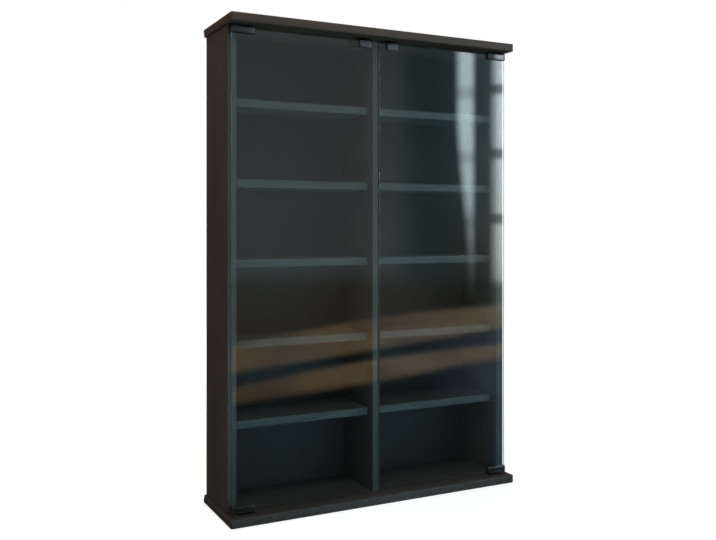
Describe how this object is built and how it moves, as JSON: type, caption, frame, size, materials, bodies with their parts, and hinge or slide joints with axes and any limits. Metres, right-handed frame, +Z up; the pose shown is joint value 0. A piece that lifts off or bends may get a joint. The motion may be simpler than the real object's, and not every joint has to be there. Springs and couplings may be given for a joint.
{
  "type": "glass-door disc storage cabinet",
  "caption": "Tall shallow black-brown storage cabinet for disc cases, with shelved columns behind frameless glass doors on corner pivots and push latches.",
  "frame": {"origin": "middle of the base board's underside, on the floor", "axes": "+X to the right seen from the front, +Y to the back, +Z up"},
  "size_m": [0.6, 0.18, 0.915],
  "materials": {
    "board_foil": "black-brown foil, satin, softly rounded edges",
    "panel_foil": "black-brown foil, satin",
    "shelf_foil": "black-brown foil, satin",
    "hardboard": "black-brown printed hardboard, matt",
    "door_glass": "clear toughened glass, polished edges",
    "clamp_black": "black, satin",
    "pin_steel": "turned, zinc plated",
    "bush_nylon": "black nylon",
    "strike_steel": "nickel plated",
    "latch_plastic": "dark brown",
    "plunger_plastic": "grey with a magnet tip",
    "shelf_pin": "dark brown"
  },
  "bodies": {
    "carcass": {"base_board": "board_foil", "top_board": "board_foil", "left_side": "panel_foil", "right_side": "panel_foil", "center_divider": "panel_foil", "back_sheet": "hardboard", "left_shelf_1": "shelf_foil", "left_shelf_2": "shelf_foil", "left_shelf_3": "shelf_foil", "left_shelf_4": "shelf_foil", "left_shelf_5": "shelf_foil", "right_shelf_1": "shelf_foil", "right_shelf_2": "shelf_foil", "right_shelf_3": "shelf_foil", "right_shelf_4": "shelf_foil", "right_shelf_5": "shelf_foil", "left_shelf_pin_1_front": "shelf_pin", "divider_shelf_pin_1_front": "shelf_pin", "right_shelf_pin_1_front": "shelf_pin", "left_shelf_pin_1_rear": "shelf_pin", "divider_shelf_pin_1_rear": "shelf_pin", "right_shelf_pin_1_rear": "shelf_pin", "left_shelf_pin_2_front": "shelf_pin", "divider_shelf_pin_2_front": "shelf_pin", "right_shelf_pin_2_front": "shelf_pin", "left_shelf_pin_2_rear": "shelf_pin", "divider_shelf_pin_2_rear": "shelf_pin", "right_shelf_pin_2_rear": "shelf_pin", "left_shelf_pin_4_front": "shelf_pin", "divider_shelf_pin_4_front": "shelf_pin", "right_shelf_pin_4_front": "shelf_pin", "left_shelf_pin_4_rear": "shelf_pin", "divider_shelf_pin_4_rear": "shelf_pin", "right_shelf_pin_4_rear": "shelf_pin", "left_shelf_pin_5_front": "shelf_pin", "divider_shelf_pin_5_front": "shelf_pin", "right_shelf_pin_5_front": "shelf_pin", "left_shelf_pin_5_rear": "shelf_pin", "divider_shelf_pin_5_rear": "shelf_pin", "right_shelf_pin_5_rear": "shelf_pin", "left_bottom_bush": "bush_nylon", "left_top_bush": "bush_nylon", "right_bottom_bush": "bush_nylon", "right_top_bush": "bush_nylon", "left_latch_housing": "latch_plastic", "right_latch_housing": "latch_plastic"},
    "left_door": {"left_door_glass": "door_glass", "left_bottom_clamp": "clamp_black", "left_top_clamp": "clamp_black", "left_bottom_hinge_pin": "pin_steel", "left_top_hinge_pin": "pin_steel", "left_strike_plate": "strike_steel"},
    "right_door": {"right_door_glass": "door_glass", "right_bottom_clamp": "clamp_black", "right_top_clamp": "clamp_black", "right_bottom_hinge_pin": "pin_steel", "right_top_hinge_pin": "pin_steel", "right_strike_plate": "strike_steel"},
    "left_plunger": {"left_latch_plunger": "plunger_plastic"},
    "right_plunger": {"right_latch_plunger": "plunger_plastic"}
  },
  "joints": [
    {"name": "left_door_hinge", "type": "hinge", "parent": "carcass", "child": "left_door", "pos_m": [-0.2858, -0.064, 0], "axis": [0, 0, -1], "range_deg": [0, 180]},
    {"name": "right_door_hinge", "type": "hinge", "parent": "carcass", "child": "right_door", "pos_m": [0.2858, -0.064, 0], "axis": [0, 0, 1], "range_deg": [0, 180]},
    {"name": "left_plunger_slide", "type": "slide", "parent": "carcass", "child": "left_plunger", "axis": [0, -1, 0], "range_m": [0, 0.006]},
    {"name": "right_plunger_slide", "type": "slide", "parent": "carcass", "child": "right_plunger", "axis": [0, -1, 0], "range_m": [0, 0.006]}
  ],
  "couplings": [
    {"joint": "left_plunger_slide", "follows": "left_door_hinge", "m_per_rad": 0.0019097},
    {"joint": "right_plunger_slide", "follows": "right_door_hinge", "m_per_rad": 0.0019097}
  ]
}
